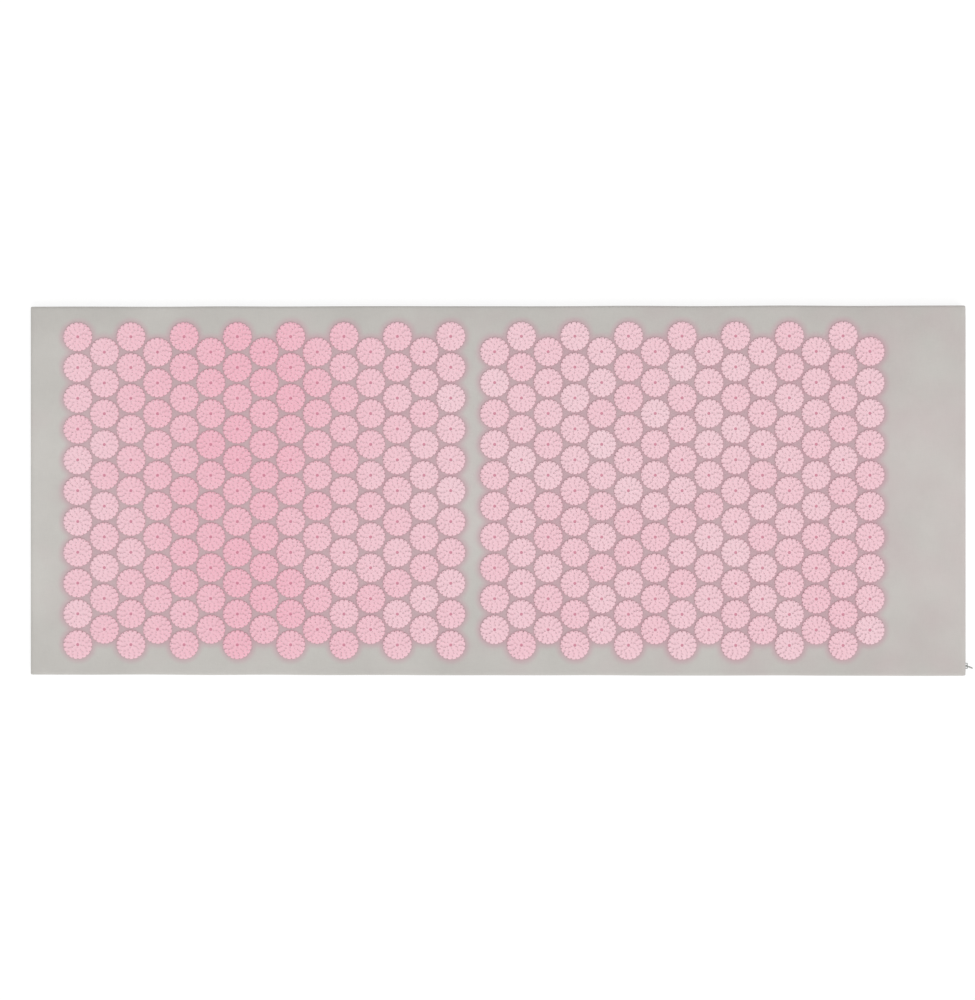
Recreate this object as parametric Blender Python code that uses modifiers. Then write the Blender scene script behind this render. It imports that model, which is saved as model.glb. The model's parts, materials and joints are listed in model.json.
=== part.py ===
"""Full-length acupressure mat: a zipped cloth cover over a foam core, set with spiked plastic discs.

Lengths are in metres and +Z is up. The mat lies flat on Z = 0, with its length along X and its
zipped end at +X. The origin is on the underside, at the middle of the length and of the width.
The mat folds in half, discs inwards, along the bare strip between its two fields of discs.
"""

from math import cos, pi, radians, sin, sqrt

import bmesh
import bpy
from mathutils import Matrix, Vector

MM = 0.001

# Clearances
FIT_GAP = 0.3 * MM  # between pieces that touch
FOLDED_CLEARANCE = 1.4 * MM  # between facing spike tips when the mat is folded

# Plastic discs
DISC_RADIUS = 19.6 * MM
DISC_SPACING = 3.0 * MM  # bare cloth between neighbouring discs
DISC_HUB_HEIGHT = 1.2 * MM
SPIKE_HEIGHT = 6.0 * MM
SPIKE_CIRCLE_RADIUS = 17.0 * MM
RIM_SPIKE_PAIRS = 7
BOND_HEIGHT = 0.5 * MM  # of the low bond between the discs of a column

# Fields of discs
COLUMNS_PER_FIELD = 15
LONG_COLUMN_DISCS = 11
LEFT_BORDER = 46.4 * MM  # bare cloth from the left end to the first discs
RIGHT_BORDER = 111.4 * MM
SIDE_BORDER = 22.4 * MM
STRIP_BORDER = 3.4 * MM  # from a fold crease to the nearest discs

# Cover and foam core
COVER_THICKNESS = 0.8 * MM
FOAM_THICKNESS = 19.8 * MM
EDGE_RADIUS = 6.0 * MM
EDGE_SEGMENTS = 3

# Zip in the right end wall
ZIP_OPENING = 7.0 * MM
ZIP_FRONT_MARGIN = 7.0 * MM  # from the front edge of the mat to the opening
ZIP_BACK_MARGIN = 13.0 * MM
TAPE_THICKNESS = 0.6 * MM
TAPE_OVERLAP = 1.5 * MM  # behind the cover's edge
TAPE_END_OVERLAP = 0.8 * MM
TEETH_WIDTH = 2.0 * MM
TEETH_DEPTH = 2.0 * MM
STOP_LENGTH = 1.4 * MM
CUT_OVERRUN = 3.0 * MM

# Zip slider and its pull tab
SLIDER_LENGTH = 9.0 * MM
SLIDER_OUTER_PLATE = 0.9 * MM
SLIDER_INNER_PLATE = 0.8 * MM
SLIDER_TAIL_SHARE = 0.75
NECK_THICKNESS = 0.6 * MM
NECK_LENGTH = 4.0 * MM
JOIN_DEPTH = 0.2 * MM  # how far one part of the slider is sunk into the next
ARCH_LENGTH = 8.0 * MM
ARCH_WIDTH = 1.8 * MM
ARCH_BAR = 1.0 * MM
PULL_SWING_ROOM = 1.0 * MM  # from the pull's pivot to the slider, each way
PULL_THICKNESS = 1.1 * MM
PULL_BAR = 1.2 * MM  # the part of the pull that passes under the arch
PULL_LENGTH = 9.5 * MM
PULL_ARM_WIDTH = 1.4 * MM
PULL_SIDE_GAP = 0.5 * MM
PULL_CORNER_RADIUS = 1.8 * MM
PULL_CORNER_STEPS = 4
PULL_REST_ANGLE = radians(-20)  # from straight out of the end wall, towards the front

# Derived sizes
DISC_PITCH = 2 * DISC_RADIUS + DISC_SPACING
COLUMN_SPACING = DISC_PITCH * sqrt(3) / 2
FIELD_LENGTH = (COLUMNS_PER_FIELD - 1) * COLUMN_SPACING
COLUMN_LENGTH = (LONG_COLUMN_DISCS - 1) * DISC_PITCH
MAT_THICKNESS = FOAM_THICKNESS + 2 * (COVER_THICKNESS + FIT_GAP)
MAT_WIDTH = COLUMN_LENGTH + 2 * (DISC_RADIUS + SIDE_BORDER)
STRIP_WIDTH = 2 * (FIT_GAP + SPIKE_HEIGHT) + FOLDED_CLEARANCE
FIELD_GAP = STRIP_WIDTH + 2 * (STRIP_BORDER + DISC_RADIUS)
MAT_LENGTH = LEFT_BORDER + RIGHT_BORDER + 2 * (DISC_RADIUS + FIELD_LENGTH) + FIELD_GAP

# Derived places
LEFT_END = -MAT_LENGTH / 2
RIGHT_END = MAT_LENGTH / 2
LEFT_FIELD_START = LEFT_END + LEFT_BORDER + DISC_RADIUS
RIGHT_FIELD_START = LEFT_FIELD_START + FIELD_LENGTH + FIELD_GAP
STRIP_CENTRE = RIGHT_FIELD_START - FIELD_GAP / 2
LEFT_CREASE = STRIP_CENTRE - STRIP_WIDTH / 2
RIGHT_CREASE = STRIP_CENTRE + STRIP_WIDTH / 2
SEAM_HEIGHT = MAT_THICKNESS / 2

# Derived zip sizes and places
TAPE_BACK = RIGHT_END - COVER_THICKNESS - FIT_GAP - TAPE_THICKNESS
TEETH_CENTRE = TAPE_BACK + TAPE_THICKNESS / 2
TEETH_GAP = NECK_THICKNESS + 2 * FIT_GAP  # lets the slider's neck pass between the rows
TAPE_START = TEETH_GAP / 2 + TEETH_WIDTH + FIT_GAP
TAPE_REACH = ZIP_OPENING / 2 + TAPE_OVERLAP
COVER_EDGE = min(EDGE_RADIUS, SEAM_HEIGHT - TAPE_REACH)  # the tape needs a flat wall
FOAM_EDGE = COVER_EDGE - COVER_THICKNESS - FIT_GAP
OPENING_FRONT = -MAT_WIDTH / 2 + ZIP_FRONT_MARGIN
OPENING_BACK = MAT_WIDTH / 2 - ZIP_BACK_MARGIN
FRONT_STOP_END = OPENING_FRONT + FIT_GAP + STOP_LENGTH
BACK_STOP_START = OPENING_BACK - FIT_GAP - STOP_LENGTH
SLIDER_REST = FRONT_STOP_END + FIT_GAP + SLIDER_LENGTH / 2
SLIDER_HALF_WIDTH = ZIP_OPENING / 2 - FIT_GAP
OUTER_PLATE_BACK = TEETH_CENTRE + TEETH_DEPTH / 2 + FIT_GAP
OUTER_PLATE_FACE = OUTER_PLATE_BACK + SLIDER_OUTER_PLATE
INNER_PLATE_FACE = TEETH_CENTRE - TEETH_DEPTH / 2 - FIT_GAP
INNER_PLATE_BACK = INNER_PLATE_FACE - SLIDER_INNER_PLATE
PULL_PIVOT = OUTER_PLATE_FACE + PULL_SWING_ROOM
ARCH_FACE = PULL_PIVOT + PULL_SWING_ROOM + ARCH_BAR
FOAM_RIGHT_END = INNER_PLATE_BACK - FIT_GAP

CREASE_POINTS = {
    "fold_left_crease": Vector((LEFT_CREASE, 0, MAT_THICKNESS)),
    "fold_right_crease": Vector((RIGHT_CREASE, 0, MAT_THICKNESS)),
}
SLIDER_POINT = Vector((OUTER_PLATE_BACK, SLIDER_REST, SEAM_HEIGHT))
PULL_POINT = Vector((PULL_PIVOT, SLIDER_REST, SEAM_HEIGHT))


def clear_scene():
    """Start from an empty scene."""
    for item in list(bpy.data.objects):
        bpy.data.objects.remove(item)


def add_collection(name):
    """A collection under the scene's own."""
    group = bpy.data.collections.new(name)
    bpy.context.scene.collection.children.link(group)
    return group


def add_material(name, colour, roughness, metallic=0.0):
    """A Principled material of one colour."""
    made = bpy.data.materials.new(name)
    made.use_nodes = True
    shader = made.node_tree.nodes["Principled BSDF"]
    shader.inputs["Base Color"].default_value = (*colour, 1.0)
    shader.inputs["Roughness"].default_value = roughness
    shader.inputs["Metallic"].default_value = metallic
    return made


clear_scene()
PARTS = add_collection("acupressure_mat")
CUTTERS = add_collection("cutters")

CLOTH = add_material("grey_cloth", (0.54, 0.53, 0.50), 0.9)
FOAM = add_material("cream_foam", (0.80, 0.77, 0.66), 0.95)
PINK_PLASTIC = add_material("pink_plastic", (0.83, 0.53, 0.60), 0.45)
ZIP_CLOTH = add_material("zip_tape", (0.42, 0.42, 0.40), 0.9)
ZIP_NYLON = add_material("zip_nylon", (0.40, 0.40, 0.39), 0.5)
GREY_METAL = add_material("grey_metal", (0.36, 0.36, 0.35), 0.4, 0.6)


def add_pivot(name, point, carrier=None):
    """An empty on a joint's axis, which carries the pieces that move with that joint."""
    pivot = bpy.data.objects.new(name, None)
    PARTS.objects.link(pivot)
    attach(pivot, point, carrier)
    return pivot


def world_point(carrier):
    """Where an unturned carrier is, counting the carriers under it."""
    point = Vector((0, 0, 0))
    while carrier is not None:
        point += carrier.location
        carrier = carrier.parent
    return point


def attach(item, point, carrier):
    """Put an item's origin at a point of the mat, and hang it from its carrier."""
    item.parent = carrier
    item.location = Vector(point) - world_point(carrier)


def add_mesh_object(name, shape, finish, group=None):
    """Turn a bmesh into an object and free the bmesh."""
    mesh = bpy.data.meshes.new(name)
    shape.to_mesh(mesh)
    shape.free()
    mesh.materials.append(finish)
    item = bpy.data.objects.new(name, mesh)
    (group or PARTS).objects.link(item)
    return item


def box_shape(low, high):
    """A box between two corners, as a bmesh about its own centre, and that centre."""
    low, high = Vector(low), Vector(high)
    shape = bmesh.new()
    bmesh.ops.create_cube(shape, size=1)
    bmesh.ops.scale(shape, vec=high - low, verts=shape.verts)
    return shape, (low + high) / 2


def add_box(name, low, high, finish, carrier=None):
    """A plain box piece."""
    shape, centre = box_shape(low, high)
    item = add_mesh_object(name, shape, finish)
    attach(item, centre, carrier)
    return item


def add_cutter(name, low, high):
    """A hidden box that only cuts."""
    shape, centre = box_shape(low, high)
    cutter = add_mesh_object(name, shape, CLOTH, CUTTERS)
    cutter.location = centre
    cutter.hide_render = True
    cutter.display_type = "WIRE"
    return cutter


def boolean(item, other, operation):
    """Cut an object with another, or join the two, by a Boolean modifier."""
    step = item.modifiers.new(f"{operation.lower()}_{other.name}", "BOOLEAN")
    step.operation = operation
    step.object = other


def faces_along(shape, axis, sign):
    """The faces of a box that point along one axis."""
    return [f for f in shape.faces if f.normal[axis] * sign > 0.9]


def round_edges(shape, skipped_faces, radius):
    """Round a box's edges, apart from those round the faces that stay flat."""
    skipped = {edge for face in skipped_faces for edge in face.edges}
    edges = [edge for edge in shape.edges if edge not in skipped]
    bmesh.ops.bevel(
        shape,
        geom=edges,
        offset=radius,
        segments=EDGE_SEGMENTS,
        profile=0.5,
        affect="EDGES",
    )


# The mat's three lengths: each has a panel of the cover above, one below, and foam between
LENGTHS = {
    "left": (LEFT_END, LEFT_CREASE - FIT_GAP / 2),
    "strip": (LEFT_CREASE + FIT_GAP / 2, RIGHT_CREASE - FIT_GAP / 2),
    "right": (RIGHT_CREASE + FIT_GAP / 2, RIGHT_END),
}


def open_ends(shape, place):
    """The end faces at a fold, where a length of the mat has no wall."""
    found = []
    if place != "left":
        found += faces_along(shape, 0, -1)
    if place != "right":
        found += faces_along(shape, 0, 1)
    return found


def add_cover_panel(side, place, carrier):
    """One length of the cover's upper or lower panel, with its share of the walls down to the seam."""
    start, end = LENGTHS[place]
    if side == "top":
        bottom, top, seam_sign = SEAM_HEIGHT + FIT_GAP / 2, MAT_THICKNESS, -1
    else:
        bottom, top, seam_sign = 0, SEAM_HEIGHT - FIT_GAP / 2, 1
    shape, centre = box_shape((start, -MAT_WIDTH / 2, bottom), (end, MAT_WIDTH / 2, top))
    shape.normal_update()
    open_faces = faces_along(shape, 2, seam_sign) + open_ends(shape, place)
    round_edges(shape, open_faces, COVER_EDGE)
    shape.normal_update()
    # after rounding, the flat open faces are still the outermost ones of their side
    gone = [f for f in faces_along(shape, 2, seam_sign) if f.calc_area() > COVER_EDGE**2]
    gone += open_ends(shape, place)
    bmesh.ops.delete(shape, geom=gone, context="FACES")
    panel = add_mesh_object(f"cover_{side}_{place}", shape, CLOTH)
    attach(panel, centre, carrier)
    wall = panel.modifiers.new("cloth_thickness", "SOLIDIFY")
    wall.thickness = COVER_THICKNESS
    wall.offset = -1
    wall.use_even_offset = True
    return panel


def add_foam(place, carrier):
    """One length of the foam core."""
    start, end = LENGTHS[place]
    inset = COVER_THICKNESS + FIT_GAP
    if place == "left":
        start += inset
    if place == "right":
        end = FOAM_RIGHT_END
    half_width = MAT_WIDTH / 2 - inset
    shape, centre = box_shape((start, -half_width, inset), (end, half_width, MAT_THICKNESS - inset))
    shape.normal_update()
    round_edges(shape, open_ends(shape, place), FOAM_EDGE)
    slab = add_mesh_object(f"foam_{place}", shape, FOAM)
    attach(slab, centre, carrier)


def add_disc(shape, y):
    """Add one disc: a flat cone whose sides are each raised into a spike near the rim.

    It returns the two spike faces that look straight along the column, front one first.
    """
    segments = 2 * RIM_SPIKE_PAIRS
    centre = Vector((0, y, 0))
    lift = Vector((0, 0, DISC_HUB_HEIGHT / 2))
    cone = bmesh.ops.create_cone(
        shape,
        cap_ends=True,
        segments=segments,
        radius1=DISC_RADIUS,
        radius2=0,
        depth=DISC_HUB_HEIGHT,
        matrix=Matrix.Translation(centre + lift) @ Matrix.Rotation(pi / segments, 4, "Z"),
    )
    sides = {face for vertex in cone["verts"] for face in vertex.link_faces if len(face.verts) == 3}
    poked = bmesh.ops.poke(shape, faces=sorted(sides, key=lambda face: face.index))
    for tip in poked["verts"]:
        outwards = Vector((tip.co.x, tip.co.y - y, 0)).normalized()
        tip.co = centre + outwards * SPIKE_CIRCLE_RADIUS + Vector((0, 0, SPIKE_HEIGHT))
    along = sorted(poked["faces"], key=lambda face: face.calc_center_median().y)
    return along[0], along[-1]


def open_for_bond(shape, face):
    """Cut a low opening in the foot of a spike, and return the edges round it."""
    tip = max(face.verts, key=lambda vertex: vertex.co.z)
    foot = [vertex for vertex in face.verts if vertex is not tip]
    poked = bmesh.ops.poke(shape, faces=[face])
    peak = poked["verts"][0]
    peak.co = ((foot[0].co + foot[1].co) / 2).lerp(tip.co, BOND_HEIGHT / SPIKE_HEIGHT)
    lowest = next(f for f in poked["faces"] if tip not in f.verts)
    edges = list(lowest.edges)
    bmesh.ops.delete(shape, geom=[lowest], context="FACES_ONLY")
    return edges


def disc_column_mesh(count):
    """A column of discs, each joined to the next by a low bond that lies on the cloth."""
    shape = bmesh.new()
    ends = [add_disc(shape, (place - (count - 1) / 2) * DISC_PITCH) for place in range(count)]
    for (_, back_face), (front_face, _) in zip(ends, ends[1:]):
        loops = open_for_bond(shape, back_face) + open_for_bond(shape, front_face)
        bmesh.ops.bridge_loops(shape, edges=loops)
    bmesh.ops.recalc_face_normals(shape, faces=shape.faces)
    mesh = bpy.data.meshes.new(f"discs_{count}")
    shape.to_mesh(mesh)
    shape.free()
    mesh.materials.append(PINK_PLASTIC)
    return mesh


def add_disc_field(side, start, long_column_parity, meshes, carrier):
    """A field of discs in a honeycomb, whose columns hold one disc more or less by turns."""
    for index in range(COLUMNS_PER_FIELD):
        mesh = meshes[index % 2 != long_column_parity]
        column = bpy.data.objects.new(f"discs_{side}_{index + 1:02d}", mesh)
        PARTS.objects.link(column)
        place = (start + index * COLUMN_SPACING, 0, MAT_THICKNESS + FIT_GAP)
        attach(column, place, carrier)


def add_zip_chain(carrier):
    """The zip's two tapes and two rows of teeth, mirrored about the seam, and its stops."""
    teeth_start, teeth_end = FRONT_STOP_END + FIT_GAP, BACK_STOP_START - FIT_GAP
    teeth_back, teeth_face = TEETH_CENTRE - TEETH_DEPTH / 2, TEETH_CENTRE + TEETH_DEPTH / 2
    row_inner, row_outer = TEETH_GAP / 2, TEETH_GAP / 2 + TEETH_WIDTH
    for name, sign in (("upper", 1), ("lower", -1)):
        tape_heights = sorted((SEAM_HEIGHT + sign * TAPE_START, SEAM_HEIGHT + sign * TAPE_REACH))
        row_heights = sorted((SEAM_HEIGHT + sign * row_inner, SEAM_HEIGHT + sign * row_outer))
        add_box(
            f"zip_tape_{name}",
            (TAPE_BACK, OPENING_FRONT - TAPE_END_OVERLAP, tape_heights[0]),
            (TAPE_BACK + TAPE_THICKNESS, OPENING_BACK + TAPE_END_OVERLAP, tape_heights[1]),
            ZIP_CLOTH,
            carrier,
        )
        add_box(
            f"zip_teeth_{name}",
            (teeth_back, teeth_start, row_heights[0]),
            (teeth_face, teeth_end, row_heights[1]),
            ZIP_NYLON,
            carrier,
        )
        add_box(
            f"zip_front_stop_{name}",
            (teeth_back, OPENING_FRONT + FIT_GAP, row_heights[0]),
            (teeth_face, FRONT_STOP_END, row_heights[1]),
            GREY_METAL,
            carrier,
        )
    add_box(
        "zip_back_stop",
        (teeth_back, BACK_STOP_START, SEAM_HEIGHT - row_outer),
        (teeth_face, BACK_STOP_START + STOP_LENGTH, SEAM_HEIGHT + row_outer),
        GREY_METAL,
        carrier,
    )


def slider_plate(back, face):
    """A plate of the slider, wider at the front than at its tail, about the slider's own origin."""
    shape, centre = box_shape(
        (back, SLIDER_REST - SLIDER_LENGTH / 2, SEAM_HEIGHT - SLIDER_HALF_WIDTH),
        (face, SLIDER_REST + SLIDER_LENGTH / 2, SEAM_HEIGHT + SLIDER_HALF_WIDTH),
    )
    for vertex in shape.verts:
        if vertex.co.y > 0:
            vertex.co.z *= SLIDER_TAIL_SHARE
    bmesh.ops.translate(shape, vec=centre - SLIDER_POINT, verts=shape.verts)
    return shape


def slider_block(name, low, high):
    """A hidden box about the slider's own origin, to join to the slider or cut from it."""
    shape, centre = box_shape(low, high)
    bmesh.ops.translate(shape, vec=centre - SLIDER_POINT, verts=shape.verts)
    return hide_block(add_mesh_object(name, shape, GREY_METAL, CUTTERS))


def hide_block(block):
    """Mark a block as a guide at the slider's place, which isn't a piece itself."""
    block.location = SLIDER_POINT
    block.hide_render = True
    block.display_type = "WIRE"
    return block


def add_slider(carrier):
    """The slider: two plates joined by a neck, and an arch over the outer one for the pull."""
    slider = add_mesh_object(
        "zip_slider", slider_plate(OUTER_PLATE_BACK, OUTER_PLATE_FACE), GREY_METAL
    )
    attach(slider, SLIDER_POINT, carrier)
    inner = hide_block(
        add_mesh_object(
            "slider_inner_plate",
            slider_plate(INNER_PLATE_BACK, INNER_PLATE_FACE),
            GREY_METAL,
            CUTTERS,
        )
    )
    neck = slider_block(
        "slider_neck",
        (
            INNER_PLATE_FACE - JOIN_DEPTH,
            SLIDER_REST - NECK_LENGTH / 2,
            SEAM_HEIGHT - NECK_THICKNESS / 2,
        ),
        (
            OUTER_PLATE_BACK + JOIN_DEPTH,
            SLIDER_REST + NECK_LENGTH / 2,
            SEAM_HEIGHT + NECK_THICKNESS / 2,
        ),
    )
    arch = slider_block(
        "slider_arch",
        (
            OUTER_PLATE_FACE - JOIN_DEPTH,
            SLIDER_REST - ARCH_LENGTH / 2,
            SEAM_HEIGHT - ARCH_WIDTH / 2,
        ),
        (ARCH_FACE, SLIDER_REST + ARCH_LENGTH / 2, SEAM_HEIGHT + ARCH_WIDTH / 2),
    )
    under_arch = slider_block(
        "space_under_arch",
        (
            OUTER_PLATE_FACE,
            SLIDER_REST - ARCH_LENGTH / 2 + ARCH_BAR,
            SEAM_HEIGHT - ARCH_WIDTH,
        ),
        (
            ARCH_FACE - ARCH_BAR,
            SLIDER_REST + ARCH_LENGTH / 2 - ARCH_BAR,
            SEAM_HEIGHT + ARCH_WIDTH,
        ),
    )
    boolean(slider, neck, "UNION")
    boolean(slider, inner, "UNION")
    boolean(slider, arch, "UNION")
    boolean(slider, under_arch, "DIFFERENCE")


def add_closed_line(curve, points):
    """A closed straight-sided outline on a flat curve."""
    line = curve.splines.new("POLY")
    line.points.add(len(points) - 1)
    for knot, (along, across) in zip(line.points, points):
        knot.co = (along, across, 0, 1)
    line.use_cyclic_u = True


def rounded_outline(start, end, half_width, radius):
    """The points of a rounded rectangle, anticlockwise from its lower right corner."""
    corners = (
        (end - radius, radius - half_width, -pi / 2),
        (end - radius, half_width - radius, 0),
        (start + radius, half_width - radius, pi / 2),
        (start + radius, radius - half_width, pi),
    )
    points = []
    for along, across, first_angle in corners:
        for step in range(PULL_CORNER_STEPS + 1):
            angle = first_angle + step / PULL_CORNER_STEPS * pi / 2
            points.append((along + radius * cos(angle), across + radius * sin(angle)))
    return points


def add_pull(carrier):
    """The pull tab: a flat tab with an eye round the slider's arch."""
    eye_start = PULL_BAR / 2
    eye_end = eye_start + ARCH_LENGTH / 2 + PULL_SIDE_GAP
    eye_half_width = ARCH_WIDTH / 2 + PULL_SIDE_GAP
    half_width = eye_half_width + PULL_ARM_WIDTH
    curve = bpy.data.curves.new("zip_pull_tab", "CURVE")
    curve.dimensions = "2D"
    curve.fill_mode = "BOTH"
    curve.extrude = PULL_THICKNESS / 2
    add_closed_line(
        curve, rounded_outline(-PULL_BAR / 2, PULL_LENGTH, half_width, PULL_CORNER_RADIUS)
    )
    add_closed_line(
        curve,
        [
            (eye_start, -eye_half_width),
            (eye_end, -eye_half_width),
            (eye_end, eye_half_width),
            (eye_start, eye_half_width),
        ],
    )
    curve.materials.append(GREY_METAL)
    pull = bpy.data.objects.new("zip_pull_tab", curve)
    PARTS.objects.link(pull)
    attach(pull, PULL_POINT, carrier)
    pull.rotation_euler = (radians(90), 0, PULL_REST_ANGLE)


def build_mat():
    """Put the mat together: left half, fold strip, right half, then the zip."""
    left_crease = add_pivot("fold_left_crease", CREASE_POINTS["fold_left_crease"])
    right_crease = add_pivot("fold_right_crease", CREASE_POINTS["fold_right_crease"], left_crease)
    slide = add_pivot("zip_slide", SLIDER_POINT, right_crease)
    swing = add_pivot("zip_pull_swing", PULL_POINT, slide)
    carriers = {"left": None, "strip": left_crease, "right": right_crease}

    zip_opening = add_cutter(
        "zip_opening",
        (
            RIGHT_END - COVER_THICKNESS - CUT_OVERRUN,
            OPENING_FRONT,
            SEAM_HEIGHT - ZIP_OPENING / 2,
        ),
        (RIGHT_END + CUT_OVERRUN, OPENING_BACK, SEAM_HEIGHT + ZIP_OPENING / 2),
    )
    for place, carrier in carriers.items():
        add_foam(place, carrier)
        for side in ("top", "bottom"):
            panel = add_cover_panel(side, place, carrier)
            if place == "right":
                boolean(panel, zip_opening, "DIFFERENCE")

    columns = (disc_column_mesh(LONG_COLUMN_DISCS), disc_column_mesh(LONG_COLUMN_DISCS - 1))
    add_disc_field("left", LEFT_FIELD_START, 0, columns, None)
    add_disc_field("right", RIGHT_FIELD_START, 1, columns, right_crease)

    add_zip_chain(right_crease)
    add_slider(slide)
    add_pull(swing)


build_mat()
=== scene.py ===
"""The acupressure mat as it looks: grey woven cover over foam, pink spiked discs and a nylon zip.

Lengths are in metres. The mat lies flat, with +X towards its zipped end and +Z up.
"""

import json
import math

import bmesh
import bpy
import numpy as np
from mathutils import Matrix, Vector, noise


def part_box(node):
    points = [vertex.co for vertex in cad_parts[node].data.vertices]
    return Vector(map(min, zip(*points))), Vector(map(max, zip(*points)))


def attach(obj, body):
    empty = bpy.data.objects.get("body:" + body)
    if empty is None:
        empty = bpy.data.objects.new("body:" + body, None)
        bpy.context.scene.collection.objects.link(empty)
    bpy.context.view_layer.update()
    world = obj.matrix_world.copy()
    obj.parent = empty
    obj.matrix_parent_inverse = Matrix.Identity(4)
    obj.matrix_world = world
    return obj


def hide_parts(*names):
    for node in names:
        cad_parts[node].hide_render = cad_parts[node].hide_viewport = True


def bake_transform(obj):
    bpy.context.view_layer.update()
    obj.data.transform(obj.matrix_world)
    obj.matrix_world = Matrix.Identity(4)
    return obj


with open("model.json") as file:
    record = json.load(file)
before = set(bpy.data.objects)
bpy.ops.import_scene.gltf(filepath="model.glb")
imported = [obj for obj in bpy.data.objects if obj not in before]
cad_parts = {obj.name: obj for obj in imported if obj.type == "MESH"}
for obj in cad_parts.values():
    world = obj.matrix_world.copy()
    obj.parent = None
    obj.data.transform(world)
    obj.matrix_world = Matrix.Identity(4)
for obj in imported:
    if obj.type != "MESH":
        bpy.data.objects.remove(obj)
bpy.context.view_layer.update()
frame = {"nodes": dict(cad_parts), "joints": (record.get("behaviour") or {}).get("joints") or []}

# Foam core: one slab of cream open-cell foam, cut to clear the turned-in seam of the cover and
# slipped in through the zip, made as two halves that meet in the middle of the bare strip.
foam_edge, foam_edge_steps = 0.005, 4
foam_spacing, foam_layer = 0.03, 0.005
seam_room = Vector((0.0016, 0.0016, 0))
bend_reach = 0.0034
hinge_x = {joint["name"]: joint["pos_m"][0] for joint in frame["joints"] if "pos_m" in joint}
creases = {"left": hinge_x["fold_left"], "right": hinge_x["fold_right"]}
strip_middle = (creases["left"] + creases["right"]) / 2
# the way along X from each end of the mat to the bare strip
inwards = {"left": 1, "right": -1}


class Value:
    """A number that changes over a surface. Arithmetic on it adds Math nodes to its tree."""

    def __init__(self, maker, socket):
        self.maker = maker
        self.socket = socket

    def maths(self, operation, *numbers):
        node = self.maker.node("Math", {"operation": operation}, dict(enumerate(numbers)))
        return Value(self.maker, node.outputs[0])

    def __add__(self, other):
        return self.maths("ADD", self, other)

    def __sub__(self, other):
        return self.maths("SUBTRACT", self, other)

    def __rsub__(self, other):
        return self.maths("SUBTRACT", other, self)

    def __mul__(self, other):
        return self.maths("MULTIPLY", self, other)

    def __truediv__(self, other):
        return self.maths("DIVIDE", self, other)

    def sine(self):
        return self.maths("SINE", self)

    def exponential(self):
        return self.maths("EXPONENT", self)

    def floor(self):
        return self.maths("FLOOR", self)

    def modulo(self, other):
        return self.maths("FLOORED_MODULO", self, other)

    def above(self, limit):
        return self.maths("GREATER_THAN", self, limit)

    def larger(self, other):
        return self.maths("MAXIMUM", self, other)

    __radd__ = __add__
    __rmul__ = __mul__


class Tree:
    """A node tree with one way to add a node: its type, its settings, then its sockets."""

    def __init__(self, tree, prefix):
        self.tree = tree
        self.prefix = prefix

    def node(self, kind, settings=None, sockets=None):
        families = (self.prefix, "ShaderNode", "FunctionNode")
        family = next(name for name in families if hasattr(bpy.types, name + kind))
        made = self.tree.nodes.new(family + kind)
        for name, setting in (settings or {}).items():
            setattr(made, name, setting)
        for key, value in (sockets or {}).items():
            self.feed(made.inputs[key], value)
        return made

    def feed(self, socket, value):
        """Link a socket to a value, a node's first output or another socket, or set it."""
        if isinstance(value, Value):
            value = value.socket
        elif isinstance(value, bpy.types.Node):
            value = value.outputs[0]
        if isinstance(value, bpy.types.NodeSocket):
            self.tree.links.new(value, socket)
        else:
            socket.default_value = value


def seen(red, green, blue):
    """A colour as the eye reads it, from 0 to 255, made linear for a shader."""
    shares = [part / 255 for part in (red, green, blue)]
    linear = [s / 12.92 if s <= 0.04045 else ((s + 0.055) / 1.055) ** 2.4 for s in shares]
    return (*linear, 1)


class Finish(Tree):
    """A material: a Principled shader, the place on the piece, and helpers for grain."""

    def __init__(self, name, cut_map=None, **constants):
        self.material = bpy.data.materials.new(name)
        self.material.use_nodes = True
        super().__init__(self.material.node_tree, "ShaderNode")
        self.shader = self.tree.nodes["Principled BSDF"]
        for key, value in constants.items():
            self.shader.inputs[key.replace("_", " ").title()].default_value = value
        if cut_map:
            self.place = self.node("UVMap", {"uv_map": cut_map}).outputs[0]
        else:
            self.place = self.node("TexCoord").outputs["Object"]
        parts = self.node("SeparateXYZ", sockets={0: self.place})
        self.x, self.y, self.z = (Value(self, parts.outputs[axis]) for axis in range(3))

    def grain(self, scale, detail=2.0, stretch=(1, 1, 1)):
        """Fractal noise about 0, at a number of grains to the metre."""
        place = self.node("VectorMath", {"operation": "MULTIPLY"}, {0: self.place, 1: stretch})
        made = self.node("TexNoise", None, {"Vector": place, "Scale": scale, "Detail": detail})
        return Value(self, made.outputs[0]) - 0.5

    def mixed(self, share, first, second):
        """A colour between two, by a share."""
        made = self.node("Mix", {"data_type": "RGBA"}, {0: share, 6: first, 7: second})
        return made.outputs[2]

    def colour(self, value):
        self.feed(self.shader.inputs["Base Color"], value)

    def carried(self, name):
        """A value that the mesh itself carries."""
        return Value(self, self.node("Attribute", {"attribute_name": name}).outputs["Fac"])

    def relief(self, height, depth):
        """Fine relief of a given depth in metres, for a height from 0 to 1."""
        bump = self.node("Bump", None, {"Height": height, "Distance": depth, "Strength": 1.0})
        self.feed(self.shader.inputs["Normal"], bump)


def arc_steps(length, radius, count, spacing):
    """Places along an edge from its start: closely set round its first corner, then evenly."""
    corner = [radius * math.tan(math.pi / 4 * step / count) for step in range(count)]
    straight = max(1, round((length - radius) / spacing))
    return corner + [radius + (length - radius) * step / straight for step in range(straight + 1)]


def both_ends(low, high, radius, count, spacing):
    """Places along an edge that has a rounded corner at both of its ends."""
    half = arc_steps((high - low) / 2, radius, count, spacing)
    return sorted({round(low + s, 7) for s in half} | {round(high - s, 7) for s in half})


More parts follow.
